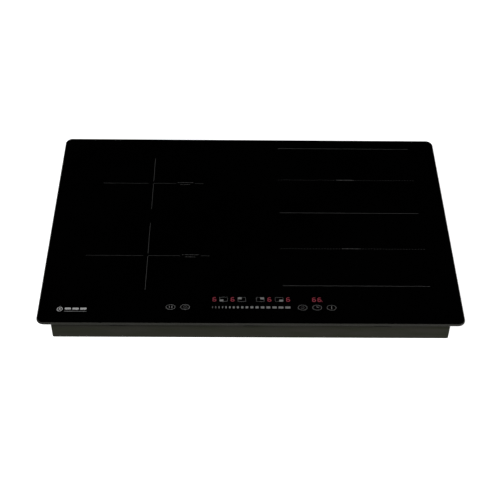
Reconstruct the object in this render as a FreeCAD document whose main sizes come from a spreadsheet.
"""Built-in induction hob: glass top, steel casing, coils, power electronics, blowers and fixings.

Frame: X to the right, Y to the back, Z up, origin on the underside of the casing, in the middle of
the hob. Millimetres. Every driving dimension is a cell of the sheet "dims".
"""

import FreeCAD, Part
import Sketcher
import math
import os
from FreeCAD import Placement, Rotation, Vector

DIMS = {
    # glass and rim
    "glass_width": 770, "glass_depth": 520, "glass_thick": 4, "glass_corner": 12, "glass_bevel": 1.6,
    "overall_height": 56,
    "seal_inset": 7, "seal_width": 6, "seal_thick": 2,
    "bond_thick": 0.6, "bond_width": 5,
    # sheet-steel casing and the frame under the glass
    "casing_width": 725, "casing_depth": 487, "casing_corner": 4, "casing_bend": 1, "sheet_thick": 1,
    "flange_width": 3, "skirt_drop": 10, "skirt_gap": 0.1,
    "screw_radius": 2, "screw_head_radius": 3.6, "screw_head_thick": 2, "screw_length": 8,
    "side_screw_pitch": 185, "rear_screw_x": 150, "skirt_screw_drop": 5,
    # shallow pressings in the front wall, below the frame's skirt
    "press_pitch": 240, "press_width": 30, "press_height": 6.4, "press_deep": 2.5, "press_z": 35.3,
    # recesses in the casing's sides, with the brackets that clamp the hob under a worktop
    "recess_deep": 14, "recess_length": 70, "recess_height": 20, "recess_y": 150,
    "bracket_width": 12, "bracket_reach": 52, "bracket_thick": 2, "bracket_level": 12,
    "bracket_hub_radius": 4.5, "bracket_pivot_inset": 7, "bracket_pivot_back": 24,
    "pivot_play": 0.05, "axial_play": 0.05, "pivot_head_radius": 4, "pivot_head_thick": 3,
    "pivot_screw_top": 24.5, "pivot_nut_thick": 3.2,
    # shelves that carry the coils
    "shelf_width": 288, "shelf_back": 202, "shelf_front": 193, "shelf_level": 28, "shelf_thick": 1.5,
    "shelf_left_x": -206, "shelf_right_x": 200, "pillar_radius": 4,
    "pillar_inset_out": 9, "pillar_inset_in": 8,
    "pillar_y_front": -182, "pillar_y_mid": 40, "pillar_y_back": 192,
    # round coils on the left
    "coil_x": -194.25, "front_coil_y": -89, "rear_coil_y": 119.3,
    "front_coil_radius": 99, "rear_coil_radius": 83,
    # oval coils of the flexible zone on the right
    "flex_x": 196.5, "flex_front_y": -67, "flex_rear_y": 132,
    "flex_width": 248, "flex_depth": 184, "flex_corner": 88,
    # stack of one coil
    "coil_gap": 0.05, "mica_thick": 1, "litz_radius": 2.1, "litz_pitch": 4.6, "litz_start": 23,
    "carrier_thick": 2, "carrier_hole": 14, "ferrite_thick": 4, "ferrite_width": 14,
    "spring_radius": 4.6, "spring_wire": 0.45, "spring_turns": 5, "spring_runs": 10,
    # blowers
    "blower_x": -8, "blower_left_y": -62, "blower_right_y": 100,
    "housing_radius": 46, "housing_height": 26, "housing_wall": 1.5, "outlet_reach": 56,
    "tongue_drop": 16, "inlet_radius": 29,
    "rotor_radius": 40, "rotor_lift": 3, "rotor_height": 20, "blade_inner": 29, "blade_thick": 1,
    "blade_count": 24, "rotor_plate": 1.5, "cup_radius": 21, "cup_wall": 1.5, "cup_lift": 4,
    "stator_radius": 18.5, "shaft_radius": 1.5,
    "rotor_shroud": 6, "blade_lean": 35, "blade_tip_inset": 0.5, "shaft_rise": 0.8,
    "grille_hole": 2.4, "grille_rings": 3.4,
    "outlet_width": 5, "outlet_height": 22, "outlet_z": 24,
    "outlet_right_x": 60, "outlet_right_length": 210, "outlet_left_x": -200, "outlet_left_length": 120,
    # circuit boards
    "board_width": 250, "board_depth": 200, "board_thick": 1.6, "board_level": 7,
    "board_left_x": -205, "board_left_y": -72, "board_right_x": 201, "board_right_y": 110,
    "filter_width": 180, "filter_depth": 140, "filter_x": -240, "filter_y": 122,
    "peg_radius": 4, "peg_inset": 8,
    "sink_length": 78, "sink_width": 60, "sink_base": 4, "sink_fin": 9, "fin_thick": 1.6,
    "sink_u": 84, "sink_v": 25, "transistor_thick": 4.4,
    "transistor_long": 16, "transistor_wide": 20, "fin_count": 10,
    "capacitor_long": 42, "capacitor_wide": 18, "capacitor_tall": 17,
    "capacitor_u": 6, "capacitor_v": -52, "capacitor_pitch": 25,
    "choke_u": -52, "choke_v": -46, "choke_pitch": 44,
    "filter_capacitor_u": 45, "filter_capacitor_pitch": 26, "filter_choke_u": -30, "filter_choke_v": 14,
    "choke_radius": 16, "choke_bore": 7, "choke_tall": 14,
    # touch control behind the front edge
    "touch_width": 328, "touch_depth": 50, "touch_height": 11, "touch_wall": 1.5, "touch_y": -214.5,
    "touch_board_inset": 3, "touch_rib": 1.9, "touch_rib_thick": 2,
    "key_spring_radius": 3.4, "key_spring_wire": 0.4, "key_spring_turns": 3, "slider_spring_x": -60,
    "slider_spring_pitch": 24, "ribbon_slot_play": 4,
    "key_y": -221.5, "digit_y": -202,
    "digit_wide": 9.6, "digit_deep": 14, "digit_tall": 5.5,
    # mains terminal
    "terminal_x": -280, "terminal_width": 100, "terminal_depth": 36, "terminal_height": 38,
    "terminal_wall": 2, "lid_width": 71.6, "lid_height": 31, "lid_thick": 2, "lid_x": -292,
    "lid_axis_in": 3.2, "lid_axis_z": 6, "barrel_radius": 2, "pin_radius": 1.2, "pin_length": 1.8,
    "gland_x": -244, "gland_z": 20, "gland_body_radius": 8, "gland_nut_radius": 10.5,
    "gland_bore": 5, "gland_inside": 9.5, "gland_outside": 14.5,
    "gland_nut_thick": 4.5, "gland_dome_out": 6.5,
    "lid_opening_width": 72, "lid_opening_height": 35, "lid_sill": 3, "ear_depth": 8, "ear_height": 9,
    "rib_width": 20, "rib_out": 1, "rib_tall": 2, "rib_drop": 6,
    "block_shift": -12, "block_width": 60, "block_depth": 16, "block_height": 15, "block_back": 14,
    "block_pitch": 11.5, "block_wire_z": 13, "block_screw_radius": 2.6, "block_screw_deep": 3,
    "lead_gap_width": 50, "lead_gap_height": 10, "lead_gap_z": 8,
    "lead_radius": 1.4, "lead_slack": 0.1, "lead_bend": 3, "lead_end_inset": 6,
    "ribbon_width": 16, "ribbon_thick": 1.2, "ribbon_x": -96, "ribbon_y": -208, "ribbon_level": 20,
    "ribbon_end_y": -160, "ribbon_bend": 6,
}

doc = FreeCAD.newDocument("induction_hob")
sheet = doc.addObject("Spreadsheet::Sheet", "dims")
for row, (alias, number) in enumerate(DIMS.items(), start=1):
    sheet.set(f"A{row}", alias)
    sheet.set(f"B{row}", str(number))
    sheet.setAlias(f"B{row}", alias)
doc.recompute()

# Levels and places that several sub-parts share, as expressions of the sheet's cells
GLASS_UNDER = "(dims.overall_height - dims.glass_thick)"
FRAME_TOP = f"({GLASS_UNDER} - dims.bond_thick)"
CASING_TOP = f"({FRAME_TOP} - dims.sheet_thick)"
FLOOR = "dims.sheet_thick"
SHELF_TOP = "(dims.shelf_level + dims.shelf_thick)"
BOARD_TOP = "(dims.board_level + dims.board_thick)"
MICA_TOP = f"({GLASS_UNDER} - dims.coil_gap)"
LITZ_LEVEL = f"({MICA_TOP} - dims.mica_thick - dims.coil_gap - dims.litz_radius)"
CARRIER_TOP = f"({LITZ_LEVEL} - dims.litz_radius)"
CARRIER_UNDER = f"({CARRIER_TOP} - dims.carrier_thick)"
SKIRT_WIDTH = "(dims.casing_width - 2 * dims.sheet_thick - 2 * dims.skirt_gap)"
SKIRT_DEPTH = "(dims.casing_depth - 2 * dims.sheet_thick - 2 * dims.skirt_gap)"
SKIRT_SCREW_Z = f"({CASING_TOP} - dims.skirt_screw_drop)"
REAR_FACE = "(dims.casing_depth / 2)"
REAR_INSIDE = "(dims.casing_depth / 2 - dims.sheet_thick)"
TRANSISTOR_TOP = f"({BOARD_TOP} + dims.transistor_thick)"
TERMINAL_FRONT = f"({REAR_INSIDE} - dims.terminal_depth)"
BLOCK_X = "(dims.terminal_x + dims.block_shift)"
TOUCH_FLOOR = f"({GLASS_UNDER} - dims.touch_height)"
TOUCH_BOARD_UNDER = f"({TOUCH_FLOOR} + dims.touch_wall + dims.touch_rib)"
TOUCH_BOARD_TOP = f"({TOUCH_BOARD_UNDER} + dims.board_thick)"

nodes = []


# ---------------------------------------------------------------- helpers


def value(expression):
    """The number that an expression of the sheet's cells comes to."""
    return float(sheet.evalExpression(expression))


def place(item, x="0", y="0", z="0"):
    """Binds an object's position to three expressions."""
    for axis, text in zip("xyz", (x, y, z)):
        item.setExpression(f"Placement.Base.{axis}", text)
    return item


def node(item, label):
    """Marks an object as a sub-part, named label."""
    item.Label = label
    nodes.append(item)
    return item


def block(name, size, centre, base):
    """A box of the given size, centred on centre in plan, standing on base."""
    item = doc.addObject("Part::Box", name)
    for side, text in zip(("Length", "Width", "Height"), size):
        item.setExpression(side, text)
    return place(item, f"{centre[0]} - ({size[0]}) / 2", f"{centre[1]} - ({size[1]}) / 2", base)


def rod(name, radius, height, centre, base, axis=None):
    """A cylinder of the given radius and height, starting at base, upright or along axis."""
    item = doc.addObject("Part::Cylinder", name)
    item.setExpression("Radius", radius)
    item.setExpression("Height", height)
    if axis is not None:
        item.Placement = Placement(Vector(), Rotation(Vector(0, 0, 1), axis))
    return place(item, centre[0], centre[1], base)


def cut(name, base, tool):
    item = doc.addObject("Part::Cut", name)
    item.Base = base
    item.Tool = tool
    return item


def fuse(name, parts):
    item = doc.addObject("Part::MultiFuse", name)
    item.Shapes = parts
    return item


def group(name, parts):
    """Several separate solids in one object."""
    item = doc.addObject("Part::Compound", name)
    item.Links = parts
    return item


def cut_all(name, base, tools):
    """base with every tool taken off it."""
    return cut(name, base, tools[0] if len(tools) == 1 else fuse(f"{name}_tools", tools))


def new_body(name):
    return doc.addObject("PartDesign::Body", name)


def sketch_in(body, name, plane="XY_Plane", shift=("0", "0", "0")):
    """A sketch on one of the body's origin planes, with its own origin shifted by expressions."""
    support = next(item for item in body.Origin.OriginFeatures if item.Role == plane)
    sketch = body.newObject("Sketcher::SketchObject", name)
    sketch.AttachmentSupport = [(support, "")]
    sketch.MapMode = "FlatFace"
    for axis, text in zip("xyz", shift):
        sketch.setExpression(f"AttachmentOffset.Base.{axis}", text)
    return sketch


def bind_last(sketch, name, expression):
    """Names the sketch's last constraint and binds it."""
    sketch.renameConstraint(sketch.ConstraintCount - 1, name)
    sketch.setExpression(f"Constraints.{name}", expression)


def add_rectangle(sketch, name, width, depth):
    """A rectangle centred on the sketch's origin."""
    w, d = value(width) / 2, value(depth) / 2
    corners = [Vector(-w, -d, 0), Vector(w, -d, 0), Vector(w, d, 0), Vector(-w, d, 0)]
    sides = [
        sketch.addGeometry(Part.LineSegment(corners[i], corners[(i + 1) % 4]), False) for i in range(4)
    ]
    for i in range(4):
        sketch.addConstraint(Sketcher.Constraint("Coincident", sides[i], 2, sides[(i + 1) % 4], 1))
        sketch.addConstraint(Sketcher.Constraint(("Horizontal", "Vertical")[i % 2], sides[i]))
    sketch.addConstraint(Sketcher.Constraint("Symmetric", sides[0], 1, sides[2], 1, -1, 1))
    sketch.addConstraint(Sketcher.Constraint("DistanceX", sides[0], 1, sides[0], 2, 2 * w))
    bind_last(sketch, f"{name}_width", width)
    sketch.addConstraint(Sketcher.Constraint("DistanceY", sides[1], 1, sides[1], 2, 2 * d))
    bind_last(sketch, f"{name}_depth", depth)


def add_circle(sketch, name, radius, out="0"):
    """A circle on the sketch's X axis, out from its origin."""
    centre = Vector(value(out), 0, 0)
    circle = sketch.addGeometry(Part.Circle(centre, Vector(0, 0, 1), value(radius)), False)
    if out == "0":
        sketch.addConstraint(Sketcher.Constraint("Coincident", circle, 3, -1, 1))
    else:
        sketch.addConstraint(Sketcher.Constraint("PointOnObject", circle, 3, -1))
        sketch.addConstraint(Sketcher.Constraint("DistanceX", -1, 1, circle, 3, centre.x))
        bind_last(sketch, f"{name}_out", out)
    sketch.addConstraint(Sketcher.Constraint("Radius", circle, value(radius)))
    bind_last(sketch, f"{name}_radius", radius)


def add_outline(sketch, points):
    """A closed outline through points, straight from one to the next."""
    for start, end in zip(points, points[1:] + points[:1]):
        sketch.addGeometry(Part.LineSegment(start, end), False)


def pad(body, name, sketch, length, down=False):
    feature = body.newObject("PartDesign::Pad", name)
    feature.Profile = sketch
    feature.setExpression("Length", length)
    feature.Reversed = down
    doc.recompute()
    return feature


def pocket(body, name, sketch, depth, along_normal=False):
    """A pocket that has to take something off the body."""
    before = body.Shape.Volume
    feature = body.newObject("PartDesign::Pocket", name)
    feature.Profile = sketch
    feature.setExpression("Length", depth)
    feature.Reversed = along_normal
    doc.recompute()
    if body.Shape.Volume > before - 1e-6:
        raise RuntimeError(f"{name} cuts nothing")
    return feature


def row_of(body, name, feature, sketch, length, count):
    """count copies of a feature along its sketch's X axis, over length."""
    pattern = body.newObject("PartDesign::LinearPattern", name)
    pattern.Originals = [feature]
    pattern.Direction = (sketch, ["H_Axis"])
    pattern.setExpression("Length", length)
    pattern.Occurrences = count
    body.Tip = pattern
    doc.recompute()
    return pattern


def ring_of(body, name, feature, sketch, count):
    """count copies of a feature round its sketch's origin."""
    pattern = body.newObject("PartDesign::PolarPattern", name)
    pattern.Originals = [feature]
    pattern.Axis = (sketch, ["N_Axis"])
    pattern.Angle = 360
    pattern.Occurrences = count
    body.Tip = pattern
    doc.recompute()
    return pattern


def upright_edges(shape):
    """Names of the straight edges that run along Z."""
    names = []
    for number, edge in enumerate(shape.Edges, start=1):
        ends = edge.Vertexes
        if len(ends) < 2:
            continue
        first, last = Vector(ends[0].X, ends[0].Y), Vector(ends[1].X, ends[1].Y)
        if first.distanceToPoint(last) < 1e-6:
            names.append(f"Edge{number}")
    return names


def level_edges(shape, level):
    """Names of the edges that lie in the horizontal plane at level."""
    names = []
    for number, edge in enumerate(shape.Edges, start=1):
        box = edge.BoundBox
        if abs(box.ZMin - level) < 1e-6 and abs(box.ZMax - level) < 1e-6:
            names.append(f"Edge{number}")
    return names


def fillet(body, name, base, edges, radius):
    feature = body.newObject("PartDesign::Fillet", name)
    feature.Base = (base, edges)
    feature.setExpression("Radius", radius)
    doc.recompute()
    return feature


def rounded_pad(label, outer, inner, length, corner, level):
    """A plate or a ring with rounded corners, lying at level: outer and inner are width and depth."""
    body = new_body(label)
    outline = sketch_in(body, f"{label}_outline")
    add_rectangle(outline, "outer", *outer)
    if inner:
        add_rectangle(outline, "inner", *inner)
    solid = pad(body, f"{label}_pad", outline, length)
    fillet(body, f"{label}_corners", solid, upright_edges(solid.Shape), corner)
    return node(place(body, z=level), label)


def tube_along(points, bend, section):
    """A solid swept along straight runs with an arc of radius bend at each corner."""
    edges = []
    start = points[0]
    for corner, after in zip(points[1:-1], points[2:]):
        into = (corner - start).normalize()
        out = (after - corner).normalize()
        turn = into.getAngle(out)
        reach = bend * math.tan(turn / 2)
        arc_start = corner - into * reach
        arc_end = corner + out * reach
        middle = corner + (out - into).normalize() * (bend / math.cos(turn / 2) - bend)
        edges.append(Part.LineSegment(start, arc_start).toShape())
        edges.append(Part.Arc(arc_start, middle, arc_end).toShape())
        start = arc_end
    edges.append(Part.LineSegment(start, points[-1]).toShape())
    return Part.Wire(edges).makePipeShell([section], True, False)


def as_feature(name, shape, x="0", y="0", z="0"):
    """An object with a shape made by Part's own functions, placed after its shape is set."""
    item = doc.addObject("Part::Feature", name)
    item.Shape = shape
    return place(item, x, y, z)


# ---------------------------------------------------------------- glass and rim


def glass_top():
    """Black glass plate with rounded corners and a ground bevel round its top edge."""
    body = new_body("glass_top")
    outline = sketch_in(body, "glass_outline")
    add_rectangle(outline, "plate", "dims.glass_width", "dims.glass_depth")
    plate = pad(body, "glass_pad", outline, "dims.glass_thick")
    corners = fillet(body, "glass_corners", plate, upright_edges(plate.Shape), "dims.glass_corner")
    bevel = body.newObject("PartDesign::Chamfer", "glass_edge_bevel")
    bevel.Base = (corners, level_edges(corners.Shape, corners.Shape.BoundBox.ZMax))
    bevel.setExpression("Size", "dims.glass_bevel")
    node(place(body, z=GLASS_UNDER), "glass_top")


def rim_pieces():
    """Foam seal under the rim and the adhesive between glass and frame."""
    seal_width = "(dims.glass_width - 2 * dims.seal_inset)"
    seal_depth = "(dims.glass_depth - 2 * dims.seal_inset)"
    rounded_pad(
        "edge_seal", (seal_width, seal_depth),
        (f"{seal_width} - 2 * dims.seal_width", f"{seal_depth} - 2 * dims.seal_width"),
        "dims.seal_thick", "dims.casing_corner", f"{GLASS_UNDER} - dims.seal_thick",
    )
    bond_width = "(dims.casing_width + dims.flange_width)"
    bond_depth = "(dims.casing_depth + dims.flange_width)"
    rounded_pad(
        "bond_bead", (bond_width, bond_depth),
        (f"{bond_width} - 2 * dims.bond_width", f"{bond_depth} - 2 * dims.bond_width"),
        "dims.bond_thick", "dims.casing_corner", FRAME_TOP,
    )


def glass_frame():
    """Angle-section ring: a flange bonded under the glass and a skirt inside the casing's walls."""
    body = new_body("glass_frame")
    inner = (f"{SKIRT_WIDTH} - 2 * dims.sheet_thick", f"{SKIRT_DEPTH} - 2 * dims.sheet_thick")
    flange = sketch_in(body, "flange_outline")
    add_rectangle(flange, "outer", "dims.casing_width + 2 * dims.flange_width",
                  "dims.casing_depth + 2 * dims.flange_width")
    add_rectangle(flange, "inner", *inner)
    pad(body, "flange_pad", flange, "dims.sheet_thick")
    skirt = sketch_in(body, "skirt_outline")
    add_rectangle(skirt, "outer", SKIRT_WIDTH, SKIRT_DEPTH)
    add_rectangle(skirt, "inner", *inner)
    pad(body, "skirt_pad", skirt, "dims.skirt_drop", down=True)
    screw_holes(body, "frame", "-dims.skirt_screw_drop")
    node(place(body, z=CASING_TOP), "glass_frame")


def screw_holes(body, name, level):
    """Holes for the casing screws: three in each side wall, two in the rear wall."""
    for side, reach in (("left", "-dims.casing_width / 2"), ("right", "dims.casing_width / 2")):
        hole = sketch_in(body, f"{name}_{side}_hole", "YZ_Plane", ("-dims.side_screw_pitch", level, reach))
        add_circle(hole, "screw", "dims.screw_radius")
        first = pocket(body, f"{name}_{side}_cut", hole, "4 * dims.sheet_thick", side == "left")
        row_of(body, f"{name}_{side}_row", first, hole, "2 * dims.side_screw_pitch", 3)
    hole = sketch_in(body, f"{name}_rear_hole", "XZ_Plane", ("-dims.rear_screw_x", level, f"-{REAR_FACE}"))
    add_circle(hole, "screw", "dims.screw_radius")
    first = pocket(body, f"{name}_rear_cut", hole, "4 * dims.sheet_thick", True)
    row_of(body, f"{name}_rear_row", first, hole, "2 * dims.rear_screw_x", 2)


# ---------------------------------------------------------------- casing


def casing_tray():
    """Folded steel tray with bracket recesses, air inlets, outlets and the terminal's openings."""
    body = new_body("casing_tray")
    outline = sketch_in(body, "casing_outline")
    add_rectangle(outline, "casing", "dims.casing_width", "dims.casing_depth")
    solid = pad(body, "casing_pad", outline, CASING_TOP)
    solid = fillet(body, "casing_corners", solid, upright_edges(solid.Shape), "dims.casing_corner")
    underside = level_edges(solid.Shape, solid.Shape.BoundBox.ZMin)
    fillet(body, "casing_bend", solid, underside, "dims.casing_bend")
    inside = sketch_in(body, "casing_inside", shift=("0", "0", FLOOR))
    add_rectangle(inside, "inside", "dims.casing_width - 2 * dims.sheet_thick",
                  "dims.casing_depth - 2 * dims.sheet_thick")
    pocket(body, "casing_hollow", inside, CASING_TOP, True)
    for side, end, x, y in recess_places():
        inward = "+" if side == "left" else "-"
        shift = (f"{x} {inward} (dims.recess_deep + dims.sheet_thick) / 2", y, "0")
        cover = sketch_in(body, f"recess_{end}_{side}_cover_outline", shift=shift)
        add_rectangle(cover, "cover", "dims.recess_deep + dims.sheet_thick",
                      "dims.recess_length + 2 * dims.sheet_thick")
        pad(body, f"recess_{end}_{side}_cover", cover, "dims.recess_height + dims.sheet_thick")
        recess = sketch_in(body, f"recess_{end}_{side}_outline", shift=(x, y, "0"))
        add_rectangle(recess, "recess", "2 * dims.recess_deep", "dims.recess_length")
        pocket(body, f"recess_{end}_{side}", recess, "dims.recess_height", True)
    for i in (-1, 0, 1):
        spot = (f"{i} * dims.press_pitch", "dims.press_z", "dims.casing_depth / 2")
        cover = sketch_in(body, f"press_{i + 2}_cover_outline", "XZ_Plane", spot)
        add_rectangle(cover, "cover", "dims.press_width + 2 * dims.sheet_thick",
                      "dims.press_height + 2 * dims.sheet_thick")
        pad(body, f"press_{i + 2}_cover", cover, "dims.press_deep + dims.sheet_thick", down=True)
        press = sketch_in(body, f"press_{i + 2}_outline", "XZ_Plane", spot)
        add_rectangle(press, "press", "dims.press_width", "dims.press_height")
        pocket(body, f"press_{i + 2}", press, "dims.press_deep")
    casing_openings(body)
    node(body, "casing_tray")


def recess_places():
    """Side, end and place in plan of each bracket recess."""
    for side, x in (("left", "-dims.casing_width / 2"), ("right", "dims.casing_width / 2")):
        for end, y in (("front", "-dims.recess_y"), ("rear", "dims.recess_y")):
            yield side, end, x, y


def pivot_place(side, end):
    """Where the bracket's pivot screw stands, in plan."""
    sign = "-" if side == "left" else ""
    x = f"{sign}(dims.casing_width / 2 - dims.bracket_pivot_inset)"
    y = ("-dims.recess_y" if end == "front" else "dims.recess_y") + " - dims.bracket_pivot_back"
    return x, y


def casing_openings(body):
    """Everything that is cut through the tray's sheet."""
    for side, end, _, _ in recess_places():
        x, y = pivot_place(side, end)
        hole = sketch_in(body, f"pivot_{end}_{side}_hole", shift=(x, y, "0"))
        add_circle(hole, "pivot", "dims.screw_radius")
        pocket(body, f"pivot_{end}_{side}_cut", hole, "dims.recess_height + 2 * dims.sheet_thick", True)
    for blower in ("left", "right"):
        for ring, count in enumerate((6, 12, 18), start=1):
            name = f"inlet_{blower}_{ring}"
            hole = sketch_in(body, f"{name}_hole", shift=("dims.blower_x", f"dims.blower_{blower}_y", "0"))
            add_circle(hole, "hole", "dims.grille_hole", f"dims.inlet_radius * {ring} / dims.grille_rings")
            first = pocket(body, f"{name}_cut", hole, "2 * dims.sheet_thick", True)
            ring_of(body, f"{name}_ring", first, hole, count)
    outlet = ("dims.outlet_width", "dims.outlet_height")
    rear_opening(body, "outlet_right", "dims.outlet_right_x", "dims.outlet_z", outlet,
                 8, "dims.outlet_right_length")
    rear_opening(body, "outlet_left", "dims.outlet_left_x", "dims.outlet_z", outlet,
                 5, "dims.outlet_left_length")
    screw_holes(body, "casing", SKIRT_SCREW_Z)
    rear_opening(body, "lid", "dims.lid_x", "dims.lid_sill + dims.lid_opening_height / 2",
                 ("dims.lid_opening_width", "dims.lid_opening_height"))
    hole = sketch_in(body, "gland_hole", "XZ_Plane", ("dims.gland_x", "dims.gland_z", f"-{REAR_FACE}"))
    add_circle(hole, "gland", "dims.gland_body_radius")
    pocket(body, "gland_cut", hole, "2 * dims.sheet_thick", True)


def rear_opening(body, name, x, z, size, count=1, length="0"):
    """One rectangular opening in the rear wall, or a row of them."""
    slot = sketch_in(body, f"{name}_slot", "XZ_Plane", (x, z, f"-{REAR_FACE}"))
    add_rectangle(slot, "slot", *size)
    first = pocket(body, f"{name}_cut", slot, "2 * dims.sheet_thick", True)
    if count > 1:
        row_of(body, f"{name}_row", first, slot, length, count)


def casing_screws():
    """Pan-head screws through the casing's walls into the frame's skirt."""
    screws = []
    for i in (-1, 0, 1):
        for side, reach, axis in (("left", "-dims.casing_width / 2", Vector(1, 0, 0)),
                                  ("right", "dims.casing_width / 2", Vector(-1, 0, 0))):
            screws.append(pan_screw(f"screw_{side}_{i + 1}", reach, f"{i} * dims.side_screw_pitch",
                                    SKIRT_SCREW_Z, axis))
    for i in (-1, 1):
        screws.append(pan_screw(f"screw_rear_{i + 1}", f"{i} * dims.rear_screw_x", REAR_FACE,
                                SKIRT_SCREW_Z, Vector(0, -1, 0)))
    node(group("casing_screws", screws), "casing_screws")


def pan_screw(name, x, y, z, axis):
    """A screw with its head's underside at x, y, z and its shank along axis."""
    shank = rod(f"{name}_shank", "dims.screw_radius", "dims.screw_length", (x, y), z, axis)
    head = rod(f"{name}_head", "dims.screw_head_radius", "dims.screw_head_thick", (x, y), z, -axis)
    slot = doc.addObject("Part::Box", f"{name}_slot")
    slot.setExpression("Length", "2.4 * dims.screw_radius")
    slot.setExpression("Width", "0.4 * dims.screw_radius")
    slot.setExpression("Height", "dims.screw_head_thick")
    turn = Rotation(Vector(0, 0, 1), -axis)
    corner = turn.multVec(Vector(-1.2 * DIMS["screw_radius"], -0.2 * DIMS["screw_radius"],
                                 0.5 * DIMS["screw_head_thick"]))
    slot.Placement = Placement(Vector(), turn)
    place(slot, f"{x} + ({corner.x:.6f})", f"{y} + ({corner.y:.6f})", f"{z} + ({corner.z:.6f})")
    return cut(name, fuse(f"{name}_body", [shank, head]), slot)


def brackets():
    """Four swivelling clamp brackets, each on its own pivot screw with a nut inside the casing."""
    screws = []
    for side, end, _, _ in recess_places():
        label = f"bracket_{end}_{side}"
        x, y = pivot_place(side, end)
        body = new_body(label)
        arm = sketch_in(body, f"{label}_arm", shift=("0", "dims.bracket_reach / 2", "0"))
        add_rectangle(arm, "arm", "dims.bracket_width", "dims.bracket_reach + dims.bracket_width")
        strip = pad(body, f"{label}_strip", arm, "dims.bracket_thick")
        fillet(body, f"{label}_ends", strip, upright_edges(strip.Shape), "dims.bracket_width / 2.01")
        hub = sketch_in(body, f"{label}_hub_outline")
        add_circle(hub, "hub", "dims.bracket_hub_radius")
        pad(body, f"{label}_hub", hub, "dims.recess_height - dims.axial_play - dims.bracket_level")
        hole = sketch_in(body, f"{label}_hole_outline")
        add_circle(hole, "hole", "dims.screw_radius + dims.pivot_play")
        pocket(body, f"{label}_hole", hole, "dims.recess_height", True)
        node(place(body, x, y, "dims.bracket_level"), label)
        screws.append(pivot_screw(f"pivot_{end}_{side}", x, y))
    node(group("bracket_screws", screws), "bracket_screws")


def pivot_screw(name, x, y):
    """Screw from below and its nut on the recess's roof, as one tightened fastener."""
    head_top = "(dims.bracket_level - dims.axial_play)"
    shank = rod(f"{name}_shank", "dims.screw_radius", f"dims.pivot_screw_top - {head_top}", (x, y), head_top)
    head = rod(f"{name}_head", "dims.pivot_head_radius", "dims.pivot_head_thick", (x, y),
               f"{head_top} - dims.pivot_head_thick")
    nut = doc.addObject("Part::Prism", f"{name}_nut")
    nut.Polygon = 6
    nut.setExpression("Circumradius", "dims.pivot_head_radius")
    nut.setExpression("Height", "dims.pivot_nut_thick")
    place(nut, x, y, "dims.recess_height + dims.sheet_thick")
    return fuse(name, [shank, head, nut])


# ---------------------------------------------------------------- shelves and coils


def pillar_places(side):
    """Plan places of a shelf's pillars."""
    inner, outer = ("+", "-") if side == "left" else ("-", "+")
    centre = f"dims.shelf_{side}_x"
    for x in (f"{centre} {outer} (dims.shelf_width / 2 - dims.pillar_inset_out)",
              f"{centre} {inner} (dims.shelf_width / 2 - dims.pillar_inset_in)"):
        for y in ("dims.pillar_y_front", "dims.pillar_y_mid", "dims.pillar_y_back"):
            yield x, y


def shelves():
    """Aluminium shelves on pillars, each held by six screws."""
    pillars = []
    screws = []
    for side in ("left", "right"):
        label = f"coil_shelf_{side}"
        plate = block(f"{label}_plate", ("dims.shelf_width", "dims.shelf_back + dims.shelf_front",
                                         "dims.shelf_thick"),
                      (f"dims.shelf_{side}_x", "(dims.shelf_back - dims.shelf_front) / 2"), "dims.shelf_level")
        holes = []
        for number, (x, y) in enumerate(pillar_places(side), start=1):
            name = f"{side}_{number}"
            holes.append(rod(f"shelf_hole_{name}", "dims.screw_radius", "3 * dims.shelf_thick", (x, y),
                             "dims.shelf_level - dims.shelf_thick"))
            outer = rod(f"pillar_outer_{name}", "dims.pillar_radius", f"dims.shelf_level - {FLOOR}",
                        (x, y), FLOOR)
            bore = rod(f"pillar_bore_{name}", "dims.screw_radius", "dims.screw_length", (x, y),
                       f"{SHELF_TOP} - dims.screw_length")
            pillars.append(cut(f"pillar_{name}", outer, bore))
            screws.append(pan_screw(f"shelf_screw_{name}", x, y, SHELF_TOP, Vector(0, 0, -1)))
        node(cut_all(label, plate, holes), label)
    node(group("shelf_pillars", pillars), "shelf_pillars")
    node(group("shelf_screws", screws), "shelf_screws")


def litz_spiral(stretch, last_radius):
    """A flat spiral of round litz: half turns that grow by half a pitch, with straights of 2*stretch."""
    pitch = DIMS["litz_pitch"]
    radius = DIMS["litz_start"]
    edges = []
    while radius + pitch <= last_radius:
        wide = radius + pitch / 2
        if stretch:
            edges.append(Part.LineSegment(Vector(-stretch, radius, 0), Vector(stretch, radius, 0)).toShape())
        edges.append(Part.Arc(Vector(stretch, radius, 0), Vector(stretch + radius, 0, 0),
                              Vector(stretch, -radius, 0)).toShape())
        if stretch:
            near, far = Vector(stretch, -radius, 0), Vector(-stretch, -radius, 0)
            edges.append(Part.LineSegment(near, far).toShape())
        edges.append(Part.Arc(Vector(-stretch, -radius, 0), Vector(-stretch - wide, pitch / 2, 0),
                              Vector(-stretch, radius + pitch, 0)).toShape())
        radius += pitch
    start = Vector(-stretch, DIMS["litz_start"], 0)
    section = Part.Wire([Part.Circle(start, Vector(1, 0, 0), DIMS["litz_radius"]).toShape()])
    return Part.Wire(edges).makePipeShell([section], True, False)


def spring_shape(radius, wire, height, turns):
    """A compression spring of round wire, bent in short straight runs, standing in a given height."""
    rise = height - 2 * wire - 2 * DIMS["coil_gap"]
    runs = DIMS["spring_runs"]
    points = []
    for i in range(turns * runs + 1):
        angle = 2 * math.pi * i / runs
        level = wire + DIMS["coil_gap"] + rise * i / (turns * runs)
        points.append(Vector(radius * math.cos(angle), radius * math.sin(angle), level))
    section = Part.Wire([Part.Circle(points[0], points[1] - points[0], wire).toShape()])
    mitred = 1
    return Part.makePolygon(points).makePipeShell([section], True, False, mitred)


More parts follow.
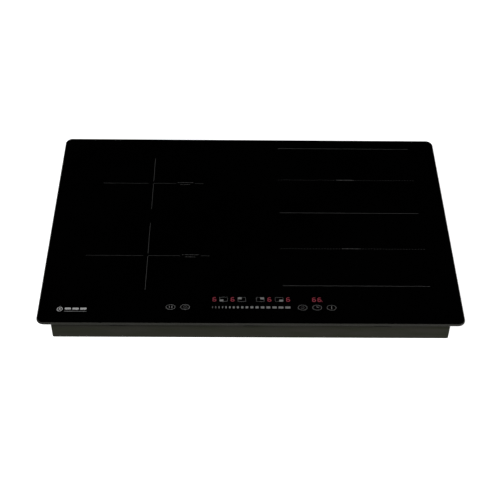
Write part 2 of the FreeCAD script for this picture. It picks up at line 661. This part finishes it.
def coil_unit(name, x, y, width, depth, corner, stretch, bars, spring_places):
    """One coil: carrier, ferrite bars, litz winding, mica sheet and the springs that press it up."""
    carrier = new_body(f"{name}_carrier")
    outline = sketch_in(carrier, f"{name}_carrier_outline")
    add_rectangle(outline, "plate", width, depth)
    add_circle(outline, "hub", "dims.carrier_hole")
    plate = pad(carrier, f"{name}_carrier_pad", outline, "dims.carrier_thick")
    fillet(carrier, f"{name}_carrier_corners", plate, upright_edges(plate.Shape), corner)
    node(place(carrier, x, y, CARRIER_UNDER), f"{name}_carrier")

    solids = []
    for number, (u, v, angle, length) in enumerate(bars, start=1):
        bar = Part.makeBox(length, DIMS["ferrite_width"], DIMS["ferrite_thick"],
                           Vector(-length / 2, -DIMS["ferrite_width"] / 2, 0))
        bar.Placement = Placement(Vector(u, v, 0), Rotation(Vector(0, 0, 1), angle))
        solids.append(bar)
    ferrites = as_feature(f"{name}_ferrites", Part.makeCompound(solids), x, y,
                          f"{CARRIER_UNDER} - dims.ferrite_thick")
    node(ferrites, f"{name}_ferrites")

    reach = value(depth) / 2 - DIMS["litz_radius"] - DIMS["coil_gap"]
    winding = as_feature(f"{name}_winding", litz_spiral(stretch, reach), x, y, LITZ_LEVEL)
    node(winding, f"{name}_winding")

    rounded = rounded_pad(f"{name}_mica", (width, depth), None, "dims.mica_thick", corner,
                          f"{MICA_TOP} - dims.mica_thick")
    place(rounded, x, y, f"{MICA_TOP} - dims.mica_thick")

    spring = spring_shape(DIMS["spring_radius"], DIMS["spring_wire"], value(f"{CARRIER_UNDER} - {SHELF_TOP}"),
                          DIMS["spring_turns"])
    springs = Part.makeCompound([spring.translated(Vector(u, v, 0)) for u, v in spring_places])
    node(as_feature(f"{name}_springs", springs, x, y, SHELF_TOP), f"{name}_springs")


def round_coil(name, y, radius):
    """A round coil with six radial ferrite bars and three springs between them."""
    size = f"2 * {radius}"
    length = 0.66 * value(radius)
    out = 0.57 * value(radius)
    bars = []
    for i in range(6):
        angle = math.radians(60 * i)
        bars.append((out * math.cos(angle), out * math.sin(angle), 60 * i, length))
    spring_out = 0.82 * value(radius)
    places = []
    for i in range(3):
        angle = math.radians(30 + 120 * i)
        places.append((spring_out * math.cos(angle), spring_out * math.sin(angle)))
    coil_unit(name, "dims.coil_x", y, size, size, f"{radius} * 0.9995", 0, bars, places)


def flex_coil(name, y):
    """An oval coil of the flexible zone, with bars across it."""
    width, depth = DIMS["flex_width"], DIMS["flex_depth"]
    bars = []
    for i in (-2, -1, 1, 2):
        bars.append((i * width * 0.17, 0, 90, depth * 0.82))
    edge = width * 0.42
    places = [(-edge, 0), (edge, depth * 0.2), (edge, -depth * 0.2)]
    coil_unit(name, "dims.flex_x", y, "dims.flex_width", "dims.flex_depth", "dims.flex_corner",
              width / 2 - depth / 2, bars, places)


# ---------------------------------------------------------------- blowers


def scroll_points(radius, reach, drop):
    """Arcs and lines of a blower's scroll, its outlet to -X: round, then straight out of the tongue."""
    tongue = math.asin(drop / radius)
    low = Vector(-radius * math.cos(tongue), -drop, 0)
    halfway = (tongue + math.pi / 2) / 2
    middle = Vector(-radius * math.cos(halfway), -radius * math.sin(halfway), 0)
    return [
        Part.LineSegment(Vector(-reach, radius, 0), Vector(0, radius, 0)),
        Part.Arc(Vector(0, radius, 0), Vector(radius, 0, 0), Vector(0, -radius, 0)),
        Part.Arc(Vector(0, -radius, 0), middle, low),
        Part.LineSegment(low, Vector(-reach, -drop, 0)),
        Part.LineSegment(Vector(-reach, -drop, 0), Vector(-reach, radius, 0)),
    ]


def turn_of(side):
    """The right-hand blower and board are the left-hand ones turned half round."""
    return Rotation(Vector(0, 0, 1), 0 if side == "left" else 180)


def blower_housing(side):
    """Plastic scroll with a round inlet below and an outlet to one side."""
    label = f"blower_housing_{side}"
    body = new_body(label)
    wall = DIMS["housing_wall"]
    outer = sketch_in(body, f"{label}_outline")
    for curve in scroll_points(DIMS["housing_radius"], DIMS["outlet_reach"], DIMS["tongue_drop"]):
        outer.addGeometry(curve, False)
    pad(body, f"{label}_pad", outer, "dims.housing_height")
    inner = sketch_in(body, f"{label}_cavity", shift=("0", "0", "dims.housing_wall"))
    for curve in scroll_points(DIMS["housing_radius"] - wall, DIMS["outlet_reach"] + wall,
                               DIMS["tongue_drop"] - wall):
        inner.addGeometry(curve, False)
    pocket(body, f"{label}_hollow", inner, "dims.housing_height - 2 * dims.housing_wall", True)
    inlet = sketch_in(body, f"{label}_inlet_outline")
    add_circle(inlet, "inlet", "dims.inlet_radius")
    pocket(body, f"{label}_inlet", inlet, "dims.housing_wall", True)
    body.Placement = Placement(Vector(), turn_of(side))
    node(place(body, "dims.blower_x", f"dims.blower_{side}_y", FLOOR), label)


def revolved(label, points):
    """A body turned about Z from an outline in its X-Z plane."""
    body = new_body(label)
    outline = sketch_in(body, f"{label}_section", "XZ_Plane")
    add_outline(outline, [Vector(r, z, 0) for r, z in points])
    feature = body.newObject("PartDesign::Revolution", f"{label}_turned")
    feature.Profile = outline
    feature.ReferenceAxis = (outline, ["V_Axis"])
    feature.Angle = 360
    doc.recompute()
    return body


def blower_rotor(side):
    """External-rotor impeller: cup with shaft, back plate, a ring of blades and their shroud."""
    label = f"blower_rotor_{side}"
    cup, wall = DIMS["cup_radius"], DIMS["cup_wall"]
    plate, top = DIMS["rotor_plate"], DIMS["rotor_height"]
    low = DIMS["cup_lift"]
    shaft_top = top + DIMS["shaft_rise"]
    body = revolved(label, [
        (0, low), (cup, low), (cup, top - plate), (DIMS["rotor_radius"], top - plate),
        (DIMS["rotor_radius"], top), (cup - wall, top), (cup - wall, low + wall),
        (DIMS["shaft_radius"], low + wall), (DIMS["shaft_radius"], shaft_top), (0, shaft_top),
    ])
    shroud = sketch_in(body, f"{label}_shroud_outline")
    add_circle(shroud, "outer", "dims.rotor_radius")
    add_circle(shroud, "inner", "dims.rotor_radius - dims.rotor_shroud")
    pad(body, f"{label}_shroud", shroud, "dims.rotor_plate")
    blade = sketch_in(body, f"{label}_blade_outline")
    add_blade(blade)
    one = pad(body, f"{label}_blade", blade, "dims.rotor_height - dims.rotor_plate / 2")
    ring_of(body, f"{label}_blades", one, blade, DIMS["blade_count"])
    node(place(body, "dims.blower_x", f"dims.blower_{side}_y", f"{FLOOR} + dims.rotor_lift"), label)


def add_blade(sketch):
    """A straight blade leaning back from the radius, its middle out on the sketch's X axis."""
    lean = math.radians(DIMS["blade_lean"])
    tip = DIMS["rotor_radius"] - DIMS["blade_tip_inset"]
    centre = Vector((tip + DIMS["blade_inner"]) / 2, 0, 0)
    along = Vector(math.cos(lean), math.sin(lean), 0) * (tip - DIMS["blade_inner"]) / 2
    across = Vector(-math.sin(lean), math.cos(lean), 0) * DIMS["blade_thick"] / 2
    add_outline(sketch, [centre - along - across, centre + along - across,
                         centre + along + across, centre - along + across])


def blower_motors():
    """The two stators, each hanging from its housing's top with the bore its shaft turns in."""
    stators = []
    for side in ("left", "right"):
        place_in_plan = ("dims.blower_x", f"dims.blower_{side}_y")
        top = f"({FLOOR} + dims.housing_height - dims.housing_wall)"
        base = f"({FLOOR} + dims.rotor_lift + dims.cup_lift + 3 * dims.cup_wall)"
        core = rod(f"stator_core_{side}", "dims.stator_radius", f"{top} - {base}", place_in_plan, base)
        bore = rod(f"stator_bore_{side}", "dims.shaft_radius + dims.pivot_play", f"{top} - {base}",
                   place_in_plan, base)
        stators.append(cut(f"stator_{side}", core, bore))
    node(group("blower_stators", stators), "blower_stators")


# ---------------------------------------------------------------- circuit boards


def on_board(side, u, v):
    """Plan place of a point u, v of a power board, as two expressions."""
    sign = "+" if side == "left" else "-"
    return f"(dims.board_{side}_x {sign} ({u}))", f"(dims.board_{side}_y {sign} ({v}))"


def board_with_pegs(label, width, depth, x, y, pegs):
    """A board on four pegs, one inside each corner."""
    node(block(label, (width, depth, "dims.board_thick"), (x, y), "dims.board_level"), label)
    for i in (-1, 1):
        for j in (-1, 1):
            corner = (f"{x} + {i} * ({width} / 2 - dims.peg_inset)",
                      f"{y} + {j} * ({depth} / 2 - dims.peg_inset)")
            pegs.append(rod(f"{label}_peg_{i + 1}_{j + 1}", "dims.peg_radius", f"dims.board_level - {FLOOR}",
                            corner, FLOOR))


def boards():
    """Two power boards and the mains filter board, with their pegs."""
    pegs = []
    for side in ("left", "right"):
        board_with_pegs(f"power_board_{side}", "dims.board_width", "dims.board_depth",
                        f"dims.board_{side}_x", f"dims.board_{side}_y", pegs)
    board_with_pegs("filter_board", "dims.filter_width", "dims.filter_depth", "dims.filter_x",
                    "dims.filter_y", pegs)
    node(group("board_pegs", pegs), "board_pegs")


def heat_sink(side):
    """Extruded aluminium heat sink: a base with upright fins along the air flow."""
    label = f"heat_sink_{side}"
    x, y = on_board(side, "dims.sink_u", "dims.sink_v")
    base = block(f"{label}_base", ("dims.sink_length", "dims.sink_width", "dims.sink_base"), (x, y),
                 TRANSISTOR_TOP)
    fins = []
    count = DIMS["fin_count"]
    for i in range(count):
        shift = f"{y} + ({i} - {(count - 1) / 2}) * (dims.sink_width - dims.fin_thick) / {count - 1}"
        fins.append(block(f"{label}_fin_{i + 1}", ("dims.sink_length", "dims.fin_thick", "dims.sink_fin"),
                          (x, shift), f"{TRANSISTOR_TOP} + dims.sink_base"))
    node(fuse(label, [base] + fins), label)


def board_parts():
    """Power transistors under the heat sinks, film capacitors and toroidal chokes."""
    transistors, capacitors, chokes = [], [], []
    for side in ("left", "right"):
        for i in (-1, 1):
            for j in (-1, 1):
                spot = on_board(side, f"dims.sink_u + {i} * dims.sink_length / 4",
                                f"dims.sink_v + {j} * dims.sink_width / 4")
                size = ("dims.transistor_long", "dims.transistor_wide", "dims.transistor_thick")
                transistors.append(block(f"transistor_{side}_{i + 1}_{j + 1}", size, spot, BOARD_TOP))
        for i in range(4):
            spot = on_board(side, "dims.capacitor_u", f"dims.capacitor_v + {i} * dims.capacitor_pitch")
            capacitors.append(film_capacitor(f"capacitor_{side}_{i + 1}", spot))
        for i in range(3):
            spot = on_board(side, "dims.choke_u", f"dims.choke_v + {i} * dims.choke_pitch")
            chokes.append(choke(f"choke_{side}_{i + 1}", spot))
    for i in range(2):
        spot = ("dims.filter_x + dims.filter_capacitor_u",
                f"dims.filter_y + {i} * dims.filter_capacitor_pitch")
        capacitors.append(film_capacitor(f"capacitor_filter_{i + 1}", spot))
    spot = ("dims.filter_x + dims.filter_choke_u", "dims.filter_y + dims.filter_choke_v")
    chokes.append(choke("choke_filter", spot))
    node(group("transistors", transistors), "transistors")
    node(group("film_capacitors", capacitors), "film_capacitors")
    node(group("chokes", chokes), "chokes")


def film_capacitor(name, spot):
    return block(name, ("dims.capacitor_long", "dims.capacitor_wide", "dims.capacitor_tall"), spot, BOARD_TOP)


def choke(name, spot):
    """A toroid lying on its board."""
    ring = rod(f"{name}_ring", "dims.choke_radius", "dims.choke_tall", spot, BOARD_TOP)
    bore = rod(f"{name}_bore", "dims.choke_bore", "dims.choke_tall", spot, BOARD_TOP)
    return cut(name, ring, bore)


# ---------------------------------------------------------------- touch control


def touch_control():
    """Holder bonded under the glass, its circuit board, the key springs and the digit displays."""
    outer = block("touch_holder_outer", ("dims.touch_width", "dims.touch_depth", "dims.touch_height"),
                  ("0", "dims.touch_y"), TOUCH_FLOOR)
    inside = block("touch_holder_inside",
                   ("dims.touch_width - 2 * dims.touch_wall", "dims.touch_depth - 2 * dims.touch_wall",
                    "dims.touch_height"), ("0", "dims.touch_y"), f"{TOUCH_FLOOR} + dims.touch_wall")
    ribs = [touch_rib(i) for i in (-2, -1, 0, 1, 2)]
    tray = cut("touch_holder_tray", outer, inside)
    slot = block("ribbon_slot", ("dims.ribbon_width + dims.ribbon_slot_play",
                                  "dims.ribbon_thick + dims.ribbon_slot_play", "3 * dims.touch_wall"),
                 ("dims.ribbon_x", "dims.ribbon_y"), f"{TOUCH_FLOOR} - dims.touch_wall")
    node(cut("touch_holder", fuse("touch_holder_ribbed", [tray] + ribs), slot), "touch_holder")
    node(block("touch_board", ("dims.touch_width - 2 * dims.touch_board_inset",
                               "dims.touch_depth - 2 * dims.touch_board_inset", "dims.board_thick"),
               ("0", "dims.touch_y"), TOUCH_BOARD_UNDER), "touch_board")
    key_springs()
    digit_displays()


def touch_rib(i):
    """A rib across the holder's floor, which the board lies on."""
    size = ("dims.touch_rib_thick", "dims.touch_depth - 2 * dims.touch_wall", "dims.touch_rib")
    return block(f"touch_rib_{i + 3}", size, (f"{i} * dims.touch_width / 5", "dims.touch_y"),
                 f"{TOUCH_FLOOR} + dims.touch_wall")


def key_springs():
    """Contact springs from the board up to the glass, under the five keys and along the slider."""
    spring = spring_shape(DIMS["key_spring_radius"], DIMS["key_spring_wire"],
                          value(f"{GLASS_UNDER} - {TOUCH_BOARD_TOP}"), DIMS["key_spring_turns"])
    key_x = [-145, -119, 94.5, 121, 147.5]
    slider_x = [DIMS["slider_spring_x"] + DIMS["slider_spring_pitch"] * i for i in range(6)]
    springs = Part.makeCompound([spring.translated(Vector(x, 0, 0)) for x in key_x + slider_x])
    node(as_feature("touch_springs", springs, "0", "dims.key_y", TOUCH_BOARD_TOP), "touch_springs")


def digit_displays():
    """Six seven-segment displays: one for each zone and a pair for the timer."""
    digits = []
    for number, x in enumerate(("-65.8", "-32.7", "34.7", "68.8", "116.3", "126.3"), start=1):
        digits.append(block(f"digit_{number}", ("dims.digit_wide", "dims.digit_deep", "dims.digit_tall"),
                            (x, "dims.digit_y"), TOUCH_BOARD_TOP))
    node(group("digit_displays", digits), "digit_displays")


# ---------------------------------------------------------------- mains terminal


def terminal_box():
    """Plastic box behind the rear wall's opening, with ears for the lid's pins."""
    centre = ("dims.terminal_x", f"{REAR_INSIDE} - dims.terminal_depth / 2")
    outer = block("terminal_outer", ("dims.terminal_width", "dims.terminal_depth", "dims.terminal_height"),
                  centre, FLOOR)
    inside = block("terminal_inside",
                   ("dims.terminal_width - 2 * dims.terminal_wall", "dims.terminal_depth",
                    "dims.terminal_height - 2 * dims.terminal_wall"),
                   (centre[0], f"{centre[1]} + dims.terminal_wall"), f"{FLOOR} + dims.terminal_wall")
    gap_size = ("dims.lead_gap_width", "4 * dims.terminal_wall", "dims.lead_gap_height")
    lead_gap = block("terminal_lead_gap", gap_size, (BLOCK_X, TERMINAL_FRONT), "dims.lead_gap_z")
    shell = cut("terminal_shell", outer, fuse("terminal_hollows", [inside, lead_gap]))
    ears = [lid_ear(name, sign) for name, sign in (("left", "-"), ("right", "+"))]
    reach = "(dims.lid_width / 2 + 4 * dims.terminal_wall)"
    pin_line = rod("terminal_pin_line", "dims.pin_radius + dims.pivot_play", f"2 * {reach}",
                   (f"dims.lid_x - {reach}", f"{REAR_FACE} - dims.lid_axis_in"), "dims.lid_axis_z",
                   Vector(1, 0, 0))
    node(cut("terminal_box", fuse("terminal_box_eared", [shell] + ears), pin_line), "terminal_box")


def lid_ear(name, sign):
    """An ear beside the lid with the hole of one of its pins."""
    x = f"dims.lid_x {sign} (dims.lid_width / 2 + dims.pivot_play + dims.terminal_wall / 2)"
    return block(f"lid_ear_{name}", ("dims.terminal_wall", "dims.ear_depth", "dims.ear_height"),
                 (x, f"{REAR_INSIDE} - dims.ear_depth / 2"), FLOOR)


def terminal_lid():
    """Lid that swings out of the rear wall on two pins at its lower edge, with a finger rib."""
    y = f"({REAR_FACE} - dims.lid_axis_in)"
    plate = block("lid_plate", ("dims.lid_width", "dims.lid_thick", "dims.lid_height"),
                  ("dims.lid_x", f"{y} + dims.lid_thick / 2"), "dims.lid_axis_z")
    barrel = rod("lid_barrel", "dims.barrel_radius", "dims.lid_width",
                 ("dims.lid_x - dims.lid_width / 2", y), "dims.lid_axis_z", Vector(1, 0, 0))
    pins = rod("lid_pins", "dims.pin_radius", "dims.lid_width + 2 * dims.pin_length",
               ("dims.lid_x - dims.lid_width / 2 - dims.pin_length", y), "dims.lid_axis_z", Vector(1, 0, 0))
    rib = block("lid_rib", ("dims.rib_width", "dims.rib_out", "dims.rib_tall"),
                ("dims.lid_x", f"{y} + dims.lid_thick + dims.rib_out / 2"),
                "dims.lid_axis_z + dims.lid_height - dims.rib_drop")
    node(fuse("terminal_lid", [plate, barrel, pins, rib]), "terminal_lid")


def terminal_block():
    """Five-way screw terminal on the box's floor."""
    y = f"({TERMINAL_FRONT} + dims.block_back)"
    base = f"({FLOOR} + dims.terminal_wall)"
    body = block("terminal_block_body", ("dims.block_width", "dims.block_depth", "dims.block_height"),
                 (BLOCK_X, y), base)
    holes = []
    for i in range(-2, 3):
        x = f"{BLOCK_X} + {i} * dims.block_pitch"
        holes.append(rod(f"terminal_wire_hole_{i + 3}", "dims.lead_radius", "2 * dims.block_depth",
                         (x, f"{y} - dims.block_depth"), "dims.block_wire_z", Vector(0, 1, 0)))
        holes.append(rod(f"terminal_screw_hole_{i + 3}", "dims.block_screw_radius",
                         "2 * dims.block_screw_deep", (x, y),
                         f"{base} + dims.block_height - dims.block_screw_deep"))
    node(cut_all("terminal_block", body, holes), "terminal_block")


def cable_gland():
    """Gland through the rear wall, open right through for the supply cord."""
    spot = ("dims.gland_x", f"({REAR_FACE} - dims.gland_inside)")
    back = Vector(0, 1, 0)
    body = rod("gland_body", "dims.gland_body_radius", "dims.gland_inside + dims.gland_outside", spot,
               "dims.gland_z", back)
    inner_nut = rod("gland_inner_nut", "dims.gland_nut_radius", "dims.gland_nut_thick",
                    (spot[0], f"{REAR_INSIDE} - dims.gland_nut_thick"), "dims.gland_z", back)
    outer_nut = rod("gland_outer_nut", "dims.gland_nut_radius", "dims.gland_nut_thick", (spot[0], REAR_FACE),
                    "dims.gland_z", back)
    dome = rod("gland_dome", "dims.gland_nut_radius - dims.sheet_thick", "dims.gland_nut_thick",
               (spot[0], f"{REAR_FACE} + dims.gland_dome_out"), "dims.gland_z", back)
    bore = rod("gland_through", "dims.gland_bore", "2 * dims.gland_inside + 2 * dims.gland_outside",
               (spot[0], f"{REAR_FACE} - 2 * dims.gland_inside"), "dims.gland_z", back)
    node(cut("cable_gland", fuse("gland_solid", [body, inner_nut, outer_nut, dome]), bore), "cable_gland")


def mains_leads():
    """Three leads from the terminal block, through the box's gap, down onto the filter board."""
    leads = []
    radius = DIMS["lead_radius"] - DIMS["lead_slack"]
    start_y = value(f"{TERMINAL_FRONT} + dims.block_back - dims.block_depth / 4")
    end_y = value("dims.filter_y + dims.filter_depth / 2 - dims.lead_end_inset")
    level = DIMS["block_wire_z"]
    board_top = value(BOARD_TOP)
    for i in (-1, 0, 1):
        x = value(f"{BLOCK_X} + {i} * dims.block_pitch")
        points = [Vector(x, start_y, level), Vector(x, end_y, level), Vector(x, end_y, board_top)]
        section = Part.Wire([Part.Circle(points[0], Vector(0, 1, 0), radius).toShape()])
        leads.append(tube_along(points, DIMS["lead_bend"], section))
    node(as_feature("mains_leads", Part.makeCompound(leads)), "mains_leads")


def ribbon_cable():
    """Flat cable from the touch board down in front of the shelf and back to the left power board."""
    x, y = DIMS["ribbon_x"], DIMS["ribbon_y"]
    level = DIMS["ribbon_level"]
    end_y = DIMS["ribbon_end_y"]
    points = [Vector(x, y, value(TOUCH_BOARD_UNDER)), Vector(x, y, level), Vector(x, end_y, level),
              Vector(x, end_y, value(BOARD_TOP))]
    w, t = DIMS["ribbon_width"] / 2, DIMS["ribbon_thick"] / 2
    corners = [points[0] + Vector(i * w, j * t, 0) for i, j in ((-1, -1), (1, -1), (1, 1), (-1, 1), (-1, -1))]
    section = Part.makePolygon(corners)
    node(as_feature("ribbon_cable", tube_along(points, DIMS["ribbon_bend"], section)), "ribbon_cable")


# ---------------------------------------------------------------- whole hob


glass_top()
rim_pieces()
glass_frame()
casing_tray()
casing_screws()
brackets()
shelves()
round_coil("front_left_coil", "dims.front_coil_y", "dims.front_coil_radius")
round_coil("rear_left_coil", "dims.rear_coil_y", "dims.rear_coil_radius")
flex_coil("front_right_coil", "dims.flex_front_y")
flex_coil("rear_right_coil", "dims.flex_rear_y")
for side in ("left", "right"):
    blower_housing(side)
    blower_rotor(side)
blower_motors()
boards()
for side in ("left", "right"):
    heat_sink(side)
board_parts()
touch_control()
terminal_box()
terminal_lid()
terminal_block()
cable_gland()
mains_leads()
ribbon_cable()
doc.recompute()

for item in doc.Objects:
    if "Invalid" in item.State or "Error" in item.State:
        raise RuntimeError(f"{item.Name} failed: {item.State}")
for item in nodes:
    if item.Shape.isNull() or not item.Shape.isValid():
        raise RuntimeError(f"{item.Label} has no valid shape")

os.makedirs("parts", exist_ok=True)
for item in nodes:
    item.Shape.exportStep(f"parts/{item.Label}.step")
print(f"{len(nodes)} sub-parts written")
